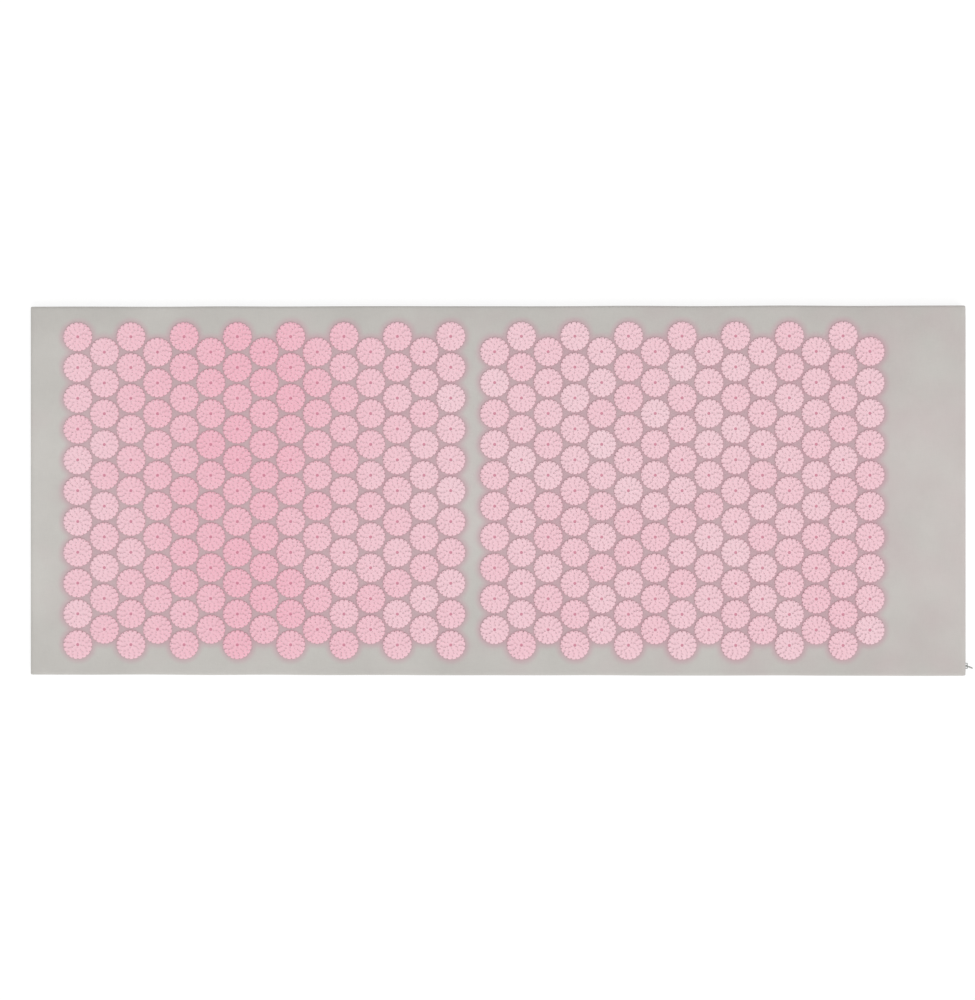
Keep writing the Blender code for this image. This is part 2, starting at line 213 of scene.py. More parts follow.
def lengthwise(side, low, high, radius, count, spacing):
    """Places along one half of the mat, from its rounded end to the middle of the bare strip."""
    # closely set where cloth and foam turn at the crease
    bend = [creases[side] + bend_reach * step / 4 for step in range(-4, 5)]
    if side == "left":
        run = [low + s for s in arc_steps(bend[0] - low, radius, count, spacing)]
        return run[:-1] + bend + [strip_middle]
    run = [high - s for s in arc_steps(high - bend[-1], radius, count, spacing)]
    return [strip_middle] + bend + run[:-1][::-1]


def block_skin(xs, ys, zs, walls):
    """The chosen walls of a block: its points, its four-sided faces and each face's axis.

    A wall is given by its axis and by whether it stands at that axis's high end.
    """
    places, index, faces, facing = [], {}, [], []

    def point(i, j, k):
        if (i, j, k) not in index:
            index[i, j, k] = len(places)
            places.append((xs[i], ys[j], zs[k]))
        return index[i, j, k]

    last = (len(xs) - 1, len(ys) - 1, len(zs) - 1)
    for axis, at_end in walls:
        a, b = ((1, 2), (2, 0), (0, 1))[axis]
        for u in range(last[a]):
            for v in range(last[b]):
                corners = []
                for du, dv in ((0, 0), (1, 0), (1, 1), (0, 1)):
                    key = [0, 0, 0]
                    key[axis] = last[axis] if at_end else 0
                    key[a], key[b] = u + du, v + dv
                    corners.append(point(*key))
                faces.append(corners if at_end else corners[::-1])
                facing.append(axis)
    return np.array(places), faces, facing


def rounded(points, low, high, radii, squareness=2):
    """Points on a block's faces, moved in so that its edges are rounded to a radius on each axis.

    A squareness over 2 keeps the block's upright corners sharper than its other edges.
    """
    radii = np.array(radii)
    inner = np.clip(points, np.array(low) + radii, np.array(high) - radii)
    out = (points - inner) / radii
    level = (np.abs(out[:, :2]) ** squareness).sum(axis=1) ** (1 / squareness)
    size = np.maximum(np.hypot(level, out[:, 2]), 1e-9)
    return inner + out / size[:, None] * radii


def in_scene(name, data):
    """A new object at the origin, linked into the scene."""
    made = bpy.data.objects.new(name, data)
    bpy.context.scene.collection.objects.link(made)
    return made


def new_piece(name, points, faces, finish):
    """A smooth piece whose place is in its mesh."""
    mesh = bpy.data.meshes.new(name)
    mesh.from_pydata([tuple(p) for p in points], [], faces)
    mesh.materials.append(finish.material)
    mesh.shade_smooth()
    return in_scene(name, mesh)


def bend_at_crease(piece, side):
    """Bake a piece's place into its mesh; the span about its crease is worked out but not used."""
    reach = inwards[side] * bend_reach
    start = (creases[side] - reach, 0, 0)
    end = (creases[side] + reach, 0, 0)
    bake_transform(piece)


foam_finish = Finish("open_cell_foam", roughness=0.95)
pores = foam_finish.grain(900, 3)
foam_finish.colour(foam_finish.mixed(pores + 0.5, seen(214, 205, 176), seen(238, 232, 208)))
foam_finish.relief(pores, 0.0006)

foam_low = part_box("foam_left")[0] + seam_room
foam_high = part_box("foam_right")[1] - seam_room
for side in ("left", "right"):
    xs = lengthwise(side, foam_low.x, foam_high.x, foam_edge, foam_edge_steps, foam_spacing)
    ys = both_ends(foam_low.y, foam_high.y, foam_edge, foam_edge_steps, foam_spacing)
    zs = both_ends(foam_low.z, foam_high.z, foam_edge, foam_edge_steps, foam_layer)
    walls = [(0, side == "right"), (1, False), (1, True), (2, False), (2, True)]
    points, faces, _ = block_skin(xs, ys, zs, walls)
    points = rounded(points, foam_low, foam_high, (foam_edge, foam_edge, foam_edge))
    core = new_piece(f"foam_core_{side}", points, faces, foam_finish)
    # the slab is closed where it ends in the middle of the bare strip
    closing = bmesh.new()
    closing.from_mesh(core.data)
    bmesh.ops.holes_fill(closing, edges=[e for e in closing.edges if e.is_boundary], sides=0)
    closing.to_mesh(core.data)
    closing.free()
    bend_at_crease(core, side)
    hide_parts(f"foam_{side}", *(["foam_strip"] if side == "left" else []))

# Cover: grey plain-weave cotton in two panels, sewn together round the edge at half the mat's
# height. The upper one carries the discs, whose bonding draws the cloth down a little under each.
cover_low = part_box("cover_bottom_left")[0]
cover_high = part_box("cover_top_right")[1]
seam_height = (cover_low.z + cover_high.z) / 2
cloth_thickness = 0.0007
panel_step = {"upper": 0.0036, "lower": 0.008}
# a point this near the block's wall or face counts as on it
on_wall = 1e-6
# how far the rounding of the cover's edges reaches along its length, across it and downwards
edge_roll = (0.006, 0.0042, 0.006)
roll_steps, corner_squareness = 5, 5
# the two raw edges turn in along the seam, and the wall's rows of points crowd towards it
seam_gap = 0.0001
seam_tuck, tuck_reach = 0.001, 0.0018
wall_rows = [seam_gap / 2, 0.0005, 0.001, 0.0018, 0.003, 0.0042]
# painted shade in the seam's crease: how far from the seam it reaches, and how much further it
# reaches round the zip's mouth
seam_shade_reach, mouth_shade = 0.004, 0.6
# the mouth for the zip in the right end wall, and the rows of points at its two ends
opening_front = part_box("zip_front_stop_lower")[0].y - 0.0003
opening_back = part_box("zip_back_stop")[1].y + 0.0003
opening_half_height, opening_slope, opening_fade = 0.0035, 0.003, 0.005
opening_rows = (-0.001, 0, 0.001, 0.002, 0.003)
# how far the long edges draw in, how far in from them it shows, and its waves to the metre
ease_depth, ease_reach, ease_waves = 0.0006, 0.03, (9, 9)
# the cloth is slack between the discs and on the bare margins, and taut near the mat's edges
slack_depth, slack_base, slack_reach, taut_reach = 0.0003, 0.6, 0.012, 0.02
long_waves, round_waves = (60, 9), (20, 20)
# the honeycomb of discs, the dimple under each, and the painted shade and pink bounce light round
# each disc on the cloth
disc_pitch = 0.0422
column_step = disc_pitch * math.sqrt(3) / 2
column_count = 15
long_column = 11
disc_radius = 0.0196
field_start = {
    side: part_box(f"discs_{side}_01")[0].x / 2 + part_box(f"discs_{side}_01")[1].x / 2
    for side in ("left", "right")
}
dimple_depth, dimple_start, dimple_slope = 0.0005, 0.9 * disc_radius, 0.3 * disc_radius
# how far the painted shade and pink bounce light reach out from each disc's edge, and how strong
# they are
disc_shade_reach, disc_shade_share = 0.010, 0.65
thread_pitch, thread_crimp = 0.0006, 1.7
stitch_pitch = 0.0038


def thread_back(beside, lengthways):
    """The height of a thread's round back, beside its middle line and along its float."""
    return (1 - beside * beside * 4) * (1 - lengthways * lengthways * thread_crimp)


cloth = Finish("grey_cotton", cut_map="cut", roughness=0.9, sheen_weight=0.15)
along, across = cloth.x / thread_pitch, cloth.y / thread_pitch
is_warp = (along.floor() + across.floor()).modulo(2)
in_along, in_across = along.modulo(1) - 0.5, across.modulo(1) - 0.5
warp, weft = thread_back(in_across, in_along), thread_back(in_along, in_across)
weave = is_warp * warp + (1 - is_warp) * weft
warp_slub = cloth.grain(70, 2, (1, 22, 1))
weft_slub = cloth.grain(70, 2, (22, 1, 1))
slub = is_warp * warp_slub + (1 - is_warp) * weft_slub
cloudy = cloth.grain(9, 3)
fibre = cloth.grain(2600, 2)
near_seam = cloth.carried("near_seam")
pucker = (((cloth.x + cloth.y) * (2 * math.pi / stitch_pitch)).sine() + 1) * near_seam
# the cloth darkens towards both long sides, a little more at the back
to_sides = cloth.y * cloth.y * 4.2 + cloth.y * 0.2
tone = 0.46 + weave * 0.2 + slub * 0.5 + cloudy * 0.7 + fibre * 0.35
# painted shade along the seam, darkest in its crease and round the zip's mouth
tone = tone - near_seam * 0.25 - to_sides
plain = cloth.mixed(tone, seen(183, 180, 175), seen(215, 212, 207))
# the upper panel's mauve cast grows towards the zip and fades towards the long sides
pink_cast = (cloth.x * 0.78 + 0.5) * 0.14 - cloth.y * cloth.y + cloth.grain(16, 2) * 0.4
# painted shade and pink bounce light round each disc, with the upper panel's cast, turn the cloth a
# darker mauve
pinkness = cloth.carried("blush") * 0.9 + pink_cast * cloth.carried("under_discs")
cloth.colour(cloth.mixed(pinkness, plain, seen(198, 160, 170)))
creasing = cloth.grain(60, 3)
cloth_height = weave * 0.3 + slub * 0.5 + fibre * 0.15 + creasing * 0.9 + pucker * 0.35
cloth.relief(cloth_height, 0.0003)


def eased(share):
    """A share from 0 to 1 that starts and stops gently."""
    share = np.clip(share, 0, 1)
    return share * share * (3 - 2 * share)


def waviness(x, y, waves, layer):
    """Smooth unevenness about 0, at a number of waves to the metre along the mat and across it."""
    places = zip(x * waves[0], y * waves[1])
    return np.array([noise.noise(Vector((a, b, layer))) for a, b in places])


def disc_lattice(side):
    """The middles of one field's discs: a honeycomb whose columns are long and short by turns."""
    found = []
    for column in range(column_count):
        is_long = column % 2 == (0 if side == "left" else 1)
        count = long_column if is_long else long_column - 1
        x = field_start[side] + column * column_step
        found += [(x, (row - (count - 1) / 2) * disc_pitch) for row in range(count)]
    return found


def disc_marks(x, y, side):
    """Each point's distance from the middle of the nearest disc, and its share of the painted shade
    and pink bounce light round the discs.
    """
    nearest, unmarked = np.full(len(x), 1.0), np.ones(len(x))
    for middle_x, middle_y in disc_lattice(side):
        away = np.hypot(x - middle_x, y - middle_y)
        nearest = np.minimum(nearest, away)
        unmarked *= 1 - disc_shade_share * (1 - eased((away - disc_radius) / disc_shade_reach))
    return nearest, 1 - unmarked


def cover_panel(level, side):
    """One half of the upper or the lower panel, with its wall down or up to the seam."""
    is_upper = level == "upper"
    step = panel_step[level]
    xs = lengthwise(side, cover_low.x, cover_high.x, edge_roll[0], roll_steps, step)
    ys = both_ends(cover_low.y, cover_high.y, edge_roll[1], roll_steps, step)
    if side == "right":
        mouth_ends = {end + row for end in (opening_front, opening_back) for row in opening_rows}
        ys = sorted(set(ys) | mouth_ends)
    roll = [
        edge_roll[2] * math.tan(math.pi / 4 * turn / roll_steps) for turn in range(roll_steps + 1)
    ]
    if is_upper:
        face_z = cover_high.z
        zs = [seam_height + w for w in wall_rows] + [face_z - r for r in roll[::-1]]
    else:
        face_z = cover_low.z
        zs = [face_z + r for r in roll] + [seam_height - w for w in wall_rows[::-1]]
    walls = [(0, side == "right"), (1, False), (1, True), (2, is_upper)]
    flat, faces, facing = block_skin(xs, ys, zs, walls)
    x, y, z = flat.T
    points = rounded(flat, cover_low, cover_high, edge_roll, corner_squareness)
    at_right, at_left = x > cover_high.x - on_wall, x < cover_low.x + on_wall
    sign_x = np.where(at_right, 1, np.where(at_left, -1, 0))
    sign_y = np.where(np.abs(y) > cover_high.y - on_wall, np.sign(y), 0)

    # the two raw edges are turned in along the seam
    from_seam = np.abs(z - seam_height)
    tuck = seam_tuck * np.clip(1 - from_seam / tuck_reach, 0, 1) ** 2
    points[:, 0] -= sign_x * tuck
    points[:, 1] -= sign_y * tuck
    # the panel's edge runs round the zip, clear of its teeth
    in_zip = np.clip((y - opening_front) / opening_slope, 0, 1)
    in_zip *= np.clip((opening_back - y) / opening_slope, 0, 1) * at_right
    lift = opening_half_height * in_zip * np.clip(1 - from_seam / opening_fade, 0, 1)
    points[:, 2] += lift if is_upper else -lift
    # the long edges aren't quite straight: sewn cloth draws in and eases out along them
    ripple = waviness(x, y, ease_waves, 5)
    edge_share = np.clip((np.abs(y) - (cover_high.y - ease_reach)) / ease_reach, 0, 1) ** 2
    points[:, 1] -= np.sign(y) * ease_depth * (0.5 + ripple) * edge_share

    blush = np.zeros(len(flat))
    if is_upper:
        nearest, blush = disc_marks(x, y, side)
        dimples = dimple_depth * (1 - eased((nearest - dimple_start) / dimple_slope))
        slack = waviness(x, y, long_waves, 3) + 0.5 * waviness(x, y, round_waves, 9)
        bare = np.clip((nearest - disc_radius) / slack_reach, 0, 1)
        from_ends = np.minimum(x - cover_low.x, cover_high.x - x)
        from_edge = np.minimum(from_ends, cover_high.y - np.abs(y))
        on_top = (z > face_z - on_wall) * np.clip(from_edge / taut_reach, 0, 1)
        points[:, 2] -= (dimples + bare * slack_depth * (slack + slack_base)) * on_top
    # how near each point is to the seam, for the puckers and for the painted shade in the seam's
    # crease
    near_seam = np.clip(1 - (from_seam + lift * mouth_shade) / seam_shade_reach, 0, 1)

    # the cut map: each point's place on the flat panel, in metres
    depth = np.abs(z - face_z)
    unrolled = {
        0: np.stack([x + sign_x * depth, y], axis=1),
        1: np.stack([x, y + sign_y * depth], axis=1),
        2: flat[:, :2],
    }
    cut = np.concatenate([unrolled[axis][corners] for axis, corners in zip(facing, faces)])
    under_discs = np.full(len(flat), float(is_upper))
    carried = {"near_seam": near_seam, "blush": blush, "under_discs": under_discs}
    return points, faces, cut, carried


def settle(piece):
    """Make a piece's modifiers real, and keep its corners crisp."""
    graph = bpy.context.evaluated_depsgraph_get()
    mesh = bpy.data.meshes.new_from_object(piece.evaluated_get(graph))
    piece.modifiers.clear()
    piece.data = mesh
    mesh.set_sharp_from_angle(angle=math.radians(50))


covers = {}
for side in ("left", "right"):
    for level, cad_side in (("upper", "top"), ("lower", "bottom")):
        points, faces, cut, carried = cover_panel(level, side)
        panel = new_piece(f"cover_{level}_{side}", points, faces, cloth)
        panel.data.uv_layers.new(name="cut").data.foreach_set("uv", cut.ravel())
        for name, values in carried.items():
            panel.data.attributes.new(name, "FLOAT", "POINT").data.foreach_set("value", values)
        shell = panel.modifiers.new("cloth_thickness", "SOLIDIFY")
        shell.thickness = cloth_thickness
        shell.offset = -1
        settle(panel)
        covers[level, side] = panel
        bend_at_crease(panel, side)
        strip = [f"cover_{cad_side}_strip"] if side == "left" else []
        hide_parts(f"cover_{cad_side}_{side}", *strip)

# Edge stitching: a row of grey thread in the upper panel, just above the seam, which goes round
# the mat, and a second row in each panel beside the zip that holds its tape.
stitch_length, stitch_gap = 0.0026, 0.0012
stitch_lift = 0.0022
thread_radius, thread_twist = 0.00022, 0.0008
# a row's path starts outside the wall, cuts its corners, and is laid on the cloth in short steps
path_outside, path_corner, path_end = 0.001, 0.003, 0.0004
laying_step = 0.0019
# the share of the thread's radius by which its middle stands above the cloth
thread_stands = 0.45

thread = Finish("grey_thread", roughness=0.7)
twist = ((thread.x + thread.y + thread.z * 2) * (2 * math.pi / thread_twist)).sine()
thread.colour(thread.mixed(twist * 0.3 + 0.5, seen(176, 175, 170), seen(200, 199, 194)))
thread.relief(twist, 0.0001)


def geometry_tree(name, inputs):
    """A Geometry Nodes tree with named inputs, and its Tree, group input and group output."""
    group = bpy.data.node_groups.new(name, "GeometryNodeTree")
    for label, kind, default in inputs:
        socket = group.interface.new_socket(label, in_out="INPUT", socket_type=kind)
        if default is not None:
            socket.default_value = default
    group.interface.new_socket("Geometry", in_out="OUTPUT", socket_type="NodeSocketGeometry")
    tree = Tree(group, "GeometryNode")
    return tree, group.nodes.new("NodeGroupInput"), group.nodes.new("NodeGroupOutput")


def close_tree(tree, leave, instances, finish):
    """End a tree: its instances are made real and get their material."""
    real = tree.node("RealizeInstances", None, {"Geometry": instances})
    coloured = tree.node("SetMaterial", None, {"Geometry": real, "Material": finish.material})
    tree.feed(leave.inputs[0], coloured)


def grow(name, group, base, values):
    """Run a tree on a base object and keep the result as a plain mesh at the origin."""
    step = base.modifiers.new(group.name, "NODES")
    step.node_group = group
    for item in group.interface.items_tree:
        if item.in_out == "INPUT" and item.name in values:
            step[item.identifier] = values[item.name]
    graph = bpy.context.evaluated_depsgraph_get()
    mesh = bpy.data.meshes.new_from_object(base.evaluated_get(graph))
    mesh.name = name
    bpy.data.objects.remove(base)
    return in_scene(name, mesh)


stitching, entry, leave = geometry_tree(
    "row_of_stitches",
    [
        ("Geometry", "NodeSocketGeometry", None),
        ("Stitch Length", "NodeSocketFloat", stitch_length),
        ("Stitch Gap", "NodeSocketFloat", stitch_gap),
        ("Thread Radius", "NodeSocketFloat", thread_radius),
    ],
)
length_in = Value(stitching, entry.outputs["Stitch Length"])
gap_in = Value(stitching, entry.outputs["Stitch Gap"])
radius_in = Value(stitching, entry.outputs["Thread Radius"])
path = stitching.node("MeshToCurve", None, {"Mesh": entry.outputs["Geometry"]})
evenly = stitching.node(
    "ResampleCurve", {"mode": "LENGTH"}, {"Curve": path, "Length": length_in + gap_in}
)
tangent = stitching.node("InputTangent")
aligned = stitching.node("AlignRotationToVector", {"axis": "Z"}, {"Vector": tangent})
bead = stitching.node("MeshUVSphere", None, {"Segments": 6, "Rings": 5, "Radius": 1.0})
size = stitching.node("CombineXYZ", None, {0: radius_in, 1: radius_in, 2: length_in * 0.5})
stitches = stitching.node(
    "InstanceOnPoints",
    None,
    {"Points": evenly, "Instance": bead, "Rotation": aligned, "Scale": size},
)
close_tree(stitching, leave, stitches, thread)


def laid_on(panel, path_points):
    """A path's points, set close and moved onto a panel's surface."""
    laid = []
    for start, end in zip(path_points, path_points[1:]):
        start, end = Vector(start), Vector(end)
        count = max(1, math.ceil((end - start).length / laying_step))
        for step in range(count):
            place = start.lerp(end, step / count)
            _, on_cloth, normal, _ = panel.closest_point_on_mesh(place)
            laid.append(on_cloth + normal * thread_radius * thread_stands)
    return laid


def stitch_row(name, path_points):
    """A row of stitches along a path."""
    mesh = bpy.data.meshes.new(name)
    edges = [(i, i + 1) for i in range(len(path_points) - 1)]
    mesh.from_pydata([tuple(p) for p in path_points], edges, [])
    row = grow(name, stitching.tree, in_scene(name + "_path", mesh), {})
    row.data.shade_smooth()
    return row


def edge_path(side, height):
    """The way round one half of the mat's wall, from the bare strip and back to it."""
    outwards = -inwards[side]
    end_x = cover_low.x if side == "left" else cover_high.x
    half_width = cover_high.y + path_outside
    points = [
        (strip_middle + outwards * path_end, -half_width, height),
        (end_x - outwards * path_corner, -half_width, height),
        (end_x + outwards * path_end, -half_width + path_corner, height),
    ]
    return points + [(x, -y, z) for x, y, z in points[::-1]]


for side in ("left", "right"):
    path = laid_on(covers["upper", side], edge_path(side, seam_height + stitch_lift))
    row = stitch_row(f"edge_stitches_{side}", path)
    bend_at_crease(row, side)

# Discs: satin pink plastic, each moulded in one piece with rings of spikes and heat-bonded to the
# cover. Short teeth, which slope down to the cloth, stand out round each disc's edge.
spike_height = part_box("discs_left_01")[1].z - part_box("discs_left_01")[0].z
disc_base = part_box("discs_left_01")[0].z
plate_height = 0.0012
# the plate goes down into the dimple by this much
sunk = 0.0006
teeth_count = 18
teeth_reach, notch_reach, notch_share = 0.0198, 0.0180, 0.38
teeth_slope, teeth_drop = 0.0010, 0.0007
# the mark in the middle, where the plastic was let into the mould
gate_floor, gate_radius, gate_depth = 0.0016, 0.0023, 0.0008
# each ring's spikes: how many, the distance of their tips from the middle, their length and width
spike_rings = (
    (14, 0.0166, 0.0044, 0.0021),
    (11, 0.0128, 0.0044, 0.0019),
    (8, 0.0089, 0.0040, 0.0017),
    (5, 0.0052, 0.0032, 0.0015),
)
# each ring is turned by this angle from the one outside it
ring_turn = 0.3
# a spike's foot lies in the plate, with these shares of its length inside and outside the tip
spike_foot = plate_height * 0.7
foot_inside, foot_outside = 0.55, 0.45
# painted light on each spike, at its tip, at the ends of its foot and at the foot's sides: it
# stands in for light through the thin plastic and lifts the shaded flanks
tip_light, foot_end_light, foot_side_light = 0.8, 0.6, 1.0

pink = Finish("pink_moulded_plastic")
batch = pink.carried("disc_tone")
ridge = pink.carried("ridge")
gate = pink.carried("gate")
# the discs of one batch, set left of the middle, are a little deeper in colour
batch_place, batch_spread = 0.35, 0.17
from_batch = (pink.x + batch_place) / batch_spread
deeper = (from_batch * from_batch * -1).exponential()
depth_of_pink = 0.42 + batch * 0.12 + deeper * 0.55
depth_of_pink = depth_of_pink + pink.grain(3, 2) * 0.5 + pink.grain(260, 2) * 0.15
body_colour = pink.mixed(depth_of_pink, seen(240, 215, 220), seen(240, 185, 199))
# the spikes are painted paler, as painted light through the plastic that also lifts their shaded
# flanks
lit_spike_colour = pink.mixed(ridge * 0.6, body_colour, seen(250, 226, 232))
# the gate's well is painted a deeper pink, as painted shade in its recess
pink.colour(pink.mixed(gate * 0.85, lit_spike_colour, seen(200, 124, 146)))
pink.feed(pink.shader.inputs["Roughness"], pink.grain(500, 2) * 0.2 + 0.42)
pink.relief(pink.grain(700, 3), 0.00008)


def mesh_of(name, shape):
    """A closed shape's mesh, with its faces turned outwards."""
    bmesh.ops.recalc_face_normals(shape, faces=shape.faces)
    mesh = bpy.data.meshes.new(name)
    shape.to_mesh(mesh)
    shape.free()
    return mesh


def disc_mesh():
    """One disc about its own middle, with zero at the height of the CAD disc's underside."""
    shape = bmesh.new()
    spike_light_of = shape.verts.layers.float.new("ridge")
    gate_shade_of = shape.verts.layers.float.new("gate")
    sector = 2 * math.pi / teeth_count

    def corner(radius, angle, height, ridge=0.0, gate=0.0):
        made = shape.verts.new((radius * math.cos(angle), radius * math.sin(angle), height))
        made[spike_light_of], made[gate_shade_of] = ridge, gate
        return made

    def rim_loop(inset, height):
        loop = []
        for number in range(teeth_count):
            half = sector * (1 - notch_share) / 2
            for angle, radius in (
                (sector * number - half, teeth_reach),
                (sector * number + half, teeth_reach),
                (sector * (number + 0.5), notch_reach),
            ):
                loop.append(corner(radius - inset, angle, height))
        return loop

    middle = corner(0, 0, plate_height - gate_depth, gate=1)
    well = [
        corner(gate_floor, sector * n, plate_height - gate_depth, gate=1)
        for n in range(teeth_count)
    ]
    hub = [corner(gate_radius, sector * n, plate_height) for n in range(teeth_count)]
    face = rim_loop(teeth_slope, plate_height)
    side = rim_loop(0, plate_height - teeth_drop)
    underside = rim_loop(0, -sunk)
    for number in range(teeth_count):
        after = (number + 1) % teeth_count
        left, right, notch = face[3 * number : 3 * number + 3]
        shape.faces.new((middle, well[number], well[after]))
        shape.faces.new((well[number], hub[number], hub[after], well[after]))
        shape.faces.new((hub[number], left, right, notch))
        shape.faces.new((hub[number], notch, hub[after]))
        shape.faces.new((hub[after], notch, face[3 * after]))
    for upper, lower in ((face, side), (side, underside)):
        for step, vertex in enumerate(upper):
            after = (step + 1) % len(upper)
            shape.faces.new((vertex, lower[step], lower[after], upper[after]))
    shape.faces.new(underside[::-1])

    for ring, (count, reach, length, width) in enumerate(spike_rings):
        for number in range(count):
            angle = 2 * math.pi * number / count + ring * ring_turn
            spread = math.atan2(width / 2, reach)
            tip = corner(reach, angle, spike_height, tip_light)
            base = [
                corner(reach - length * foot_inside, angle, spike_foot, foot_end_light),
                corner(reach, angle + spread, spike_foot, foot_side_light),
                corner(reach + length * foot_outside, angle, spike_foot, foot_end_light),
                corner(reach, angle - spread, spike_foot, foot_side_light),
            ]
            for here, there in zip(base, base[1:] + base[:1]):
                shape.faces.new((there, here, tip)).smooth = True
            for edge in shape.faces.new(base).edges:
                edge.smooth = False
    return mesh_of("spiked_disc", shape)


def by_chance(tree, least, most, seed):
    """A number between two, picked anew for each point."""
    sockets = {2: least, 3: most, "Seed": seed}
    return Value(tree, tree.node("RandomValue", {"data_type": "FLOAT"}, sockets).outputs[1])


one_disc = in_scene("one_disc", disc_mesh())

setting, entry, leave = geometry_tree(
    "field_of_discs",
    [
        ("Disc", "NodeSocketObject", None),
        ("First Column", "NodeSocketFloat", 0.0),
        ("Column Step", "NodeSocketFloat", column_step),
        ("Disc Pitch", "NodeSocketFloat", disc_pitch),
        ("Height", "NodeSocketFloat", disc_base),
        ("Columns", "NodeSocketInt", column_count),
        ("Long Column", "NodeSocketInt", long_column),
        ("Short Column Turn", "NodeSocketInt", 1),
        ("Seed", "NodeSocketInt", 11),
    ],
)
value_of = {socket.name: Value(setting, socket) for socket in entry.outputs if socket.name}
place_count = value_of["Columns"] * value_of["Long Column"]
all_places = setting.node("Points", None, {"Count": place_count})
index = Value(setting, setting.node("InputIndex").outputs[0])
column = (index / value_of["Long Column"]).floor()
row_number = index.modulo(value_of["Long Column"])
is_short = 1 - (column + value_of["Short Column Turn"]).modulo(2)
in_column = value_of["Long Column"] - is_short
across_mat = (row_number - (in_column - 1) * 0.5) * value_of["Disc Pitch"]
along_mat = value_of["First Column"] + column * value_of["Column Step"]
where = setting.node("CombineXYZ", None, {0: along_mat, 1: across_mat, 2: value_of["Height"]})
placed = setting.node("SetPosition", None, {"Geometry": all_places, "Position": where})
surplus = (row_number - in_column + 0.5).above(0)
kept = setting.node("DeleteGeometry", None, {"Geometry": placed, "Selection": surplus})
turn = by_chance(setting, 0.0, 2 * math.pi, value_of["Seed"])
turned = setting.node("CombineXYZ", None, {2: turn})
disc_shape = setting.node("ObjectInfo", None, {"Object": entry.outputs["Disc"]}).outputs["Geometry"]
discs = setting.node(
    "InstanceOnPoints", None, {"Points": kept, "Instance": disc_shape, "Rotation": turned}
)
tone_pick = by_chance(setting, -1.0, 1.0, value_of["Seed"] + 1)
toned = setting.node(
    "StoreNamedAttribute",
    {"data_type": "FLOAT", "domain": "INSTANCE"},
    {"Geometry": discs, "Name": "disc_tone", "Value": tone_pick},
)
close_tree(setting, leave, toned, pink)

for side, turn_of_short, seed in (("left", 1, 11), ("right", 0, 23)):
    field = grow(
        f"discs_{side}_field",
        setting.tree,
        in_scene(f"field_{side}", bpy.data.meshes.new("empty")),
        {
            "Disc": one_disc,
            "First Column": field_start[side],
            "Short Column Turn": turn_of_short,
            "Seed": seed,
        },
    )
    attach(field, f"{side}_half")
    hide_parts(*[f"discs_{side}_{n:02d}" for n in range(1, column_count + 1)])
bpy.data.objects.remove(one_disc)

# Zip: a nylon coil zip in the right end wall. Two woven tapes are sewn behind the edges of the
# panels, each with a row of coil teeth, and metal stops close both ends.
twill_pitch = 0.0009
tooth_pitch, tooth_width, tooth_to_middle = 0.0015, 0.0011, 0.0002
tooth_sides = 8
# a turn of the coil from its head to the tape: the share of its height, and its fullness there
tooth_sections = ((0, 0.55), (0.08, 0.9), (0.3, 1), (0.85, 0.95), (1, 0.6))
# the tape is sewn this far above and below the mouth, along a path this far outside the wall
sewing_margin, sewing_outside = 0.0014, 0.001

tape = Finish("zip_tape_weave", roughness=0.9)
twill = ((tape.y + tape.z) * (2 * math.pi / twill_pitch)).sine()
tape.colour(tape.mixed(twill * 0.3 + 0.5, seen(158, 158, 154), seen(182, 182, 177)))
tape.relief(twill, 0.0002)

nylon = Finish("grey_nylon", roughness=0.45)
nylon.colour(nylon.mixed(nylon.grain(800, 2) + 0.5, seen(166, 166, 163), seen(186, 186, 183)))
nylon.relief(nylon.grain(1500, 2), 0.00005)

metal = Finish("grey_lacquered_metal", roughness=0.38, metallic=0.35)
scuffs = metal.grain(900, 3)
metal.colour(metal.mixed(scuffs + 0.5, seen(132, 134, 132), seen(158, 160, 157)))
metal.feed(metal.shader.inputs["Roughness"], scuffs * 0.25 + 0.4)
metal.relief(scuffs, 0.00004)

for node in ("zip_tape_upper", "zip_tape_lower"):
    frame["nodes"][node].material_slots[0].material = tape.material
for node in ("zip_front_stop_upper", "zip_front_stop_lower", "zip_back_stop"):
    frame["nodes"][node].material_slots[0].material = metal.material

coil, entry, leave = geometry_tree(
    "row_of_coil_teeth",
    [
        ("Tooth", "NodeSocketObject", None),
        ("Start", "NodeSocketVector", (0, 0, 0)),
        ("Step", "NodeSocketVector", (0, tooth_pitch, 0)),
        ("Count", "NodeSocketInt", 10),
    ],
)
line = coil.node(
    "MeshLine",
    {"mode": "OFFSET"},
    {
        "Count": entry.outputs["Count"],
        "Start Location": entry.outputs["Start"],
        "Offset": entry.outputs["Step"],
    },
)
tooth_shape = coil.node("ObjectInfo", None, {"Object": entry.outputs["Tooth"]}).outputs["Geometry"]
teeth = coil.node("InstanceOnPoints", None, {"Points": line, "Instance": tooth_shape})
close_tree(coil, leave, teeth, nylon)


def coil_tooth(depth, height, sign):
    """One turn of the coil: a flattened loop that stands across the row."""
    shape = bmesh.new()
    angles = [2 * math.pi / tooth_sides * step for step in range(tooth_sides)]
    loops = []
    for share, fullness in tooth_sections:
        half_depth, half_width = depth / 2 * fullness, tooth_width / 2 * fullness
        z = sign * share * height
        places = [(half_depth * math.cos(a), half_width * math.sin(a), z) for a in angles]
        loops.append([shape.verts.new(place) for place in places])
    for below, above in zip(loops, loops[1:]):
        for step in range(tooth_sides):
            after = (step + 1) % tooth_sides
            shape.faces.new((below[step], below[after], above[after], above[step]))
    shape.faces.new(loops[0][::-1])
    shape.faces.new(loops[-1])
    mesh = mesh_of("coil_tooth", shape)
    mesh.shade_smooth()
    return mesh


